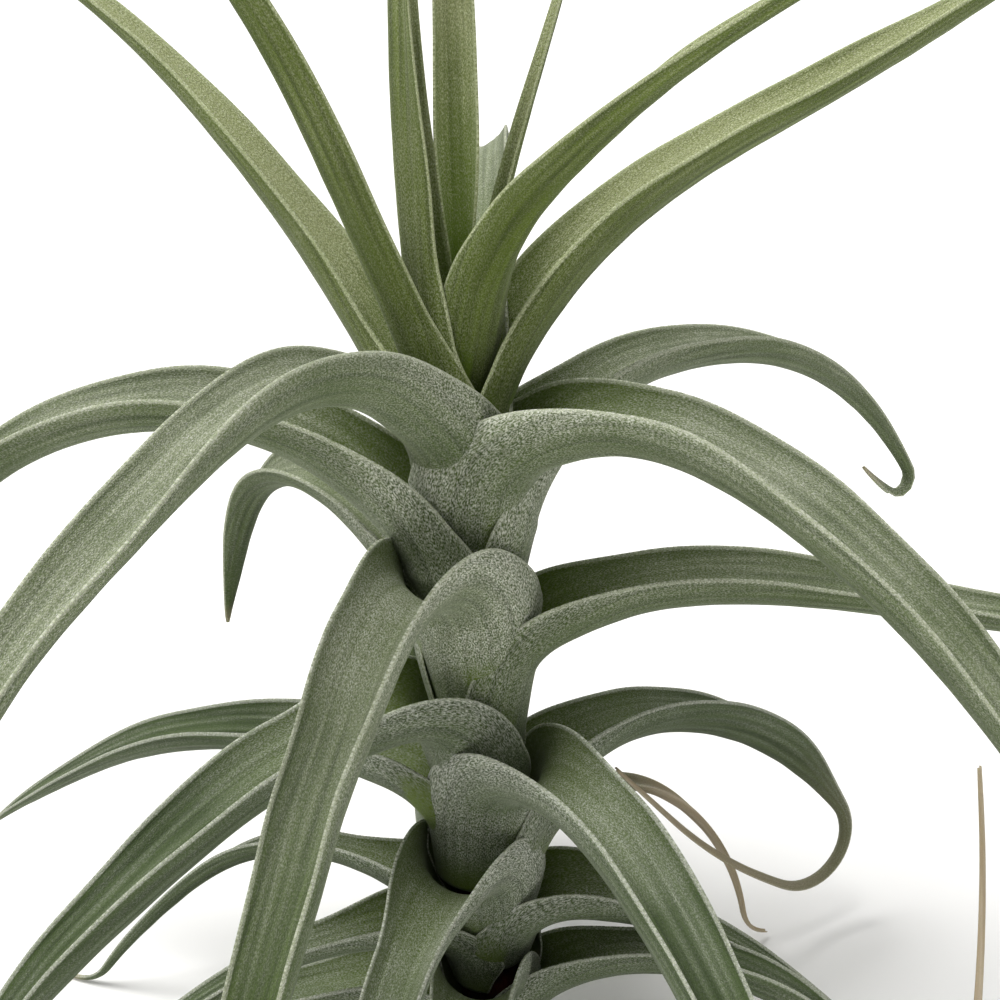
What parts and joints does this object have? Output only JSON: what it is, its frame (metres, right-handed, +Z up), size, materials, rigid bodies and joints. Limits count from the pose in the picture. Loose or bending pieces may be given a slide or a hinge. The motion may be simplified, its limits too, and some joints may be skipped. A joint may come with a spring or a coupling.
{
  "type": "air plant",
  "caption": "Long-stemmed silver-leaved air plant: channelled, scaly, tapering leaves in a spiral, arching low on the stem and upright at the tip.",
  "frame": {"origin": "centre of the flat lower end of the stem, on the surface that the plant stands on", "axes": "+Z up along the stem; the pictured side faces -Y, and +X is to the right in the picture"},
  "size_m": [0.2646, 0.21, 0.259],
  "materials": {
    "stem_bark": "matt, near-black brown, dry and fibrous",
    "leaf_old": "matt sage green under a fine silver felt of scales",
    "leaf_grown": "matt grey-green under a fine silver felt of scales",
    "leaf_young": "satin fresh green under a thin felt of scales"
  },
  "bodies": {
    "root": {"stem": "stem_bark", "leaf_01": "leaf_old", "leaf_02": "leaf_old", "leaf_03": "leaf_old", "leaf_04": "leaf_old", "leaf_05": "leaf_old", "leaf_06": "leaf_old", "leaf_07": "leaf_old", "leaf_08": "leaf_old", "leaf_09": "leaf_old", "leaf_10": "leaf_old", "leaf_11": "leaf_old", "leaf_12": "leaf_old", "leaf_13": "leaf_old", "leaf_14": "leaf_old", "leaf_15": "leaf_grown", "leaf_16": "leaf_grown", "leaf_17": "leaf_grown", "leaf_18": "leaf_grown", "leaf_19": "leaf_grown", "leaf_20": "leaf_grown", "leaf_21": "leaf_grown", "leaf_22": "leaf_grown", "leaf_23": "leaf_grown", "leaf_24": "leaf_young", "leaf_25": "leaf_young", "leaf_26": "leaf_grown", "leaf_27": "leaf_young", "leaf_28": "leaf_young", "leaf_29": "leaf_young", "leaf_30": "leaf_young", "leaf_31": "leaf_young"}
  },
  "joints": []
}
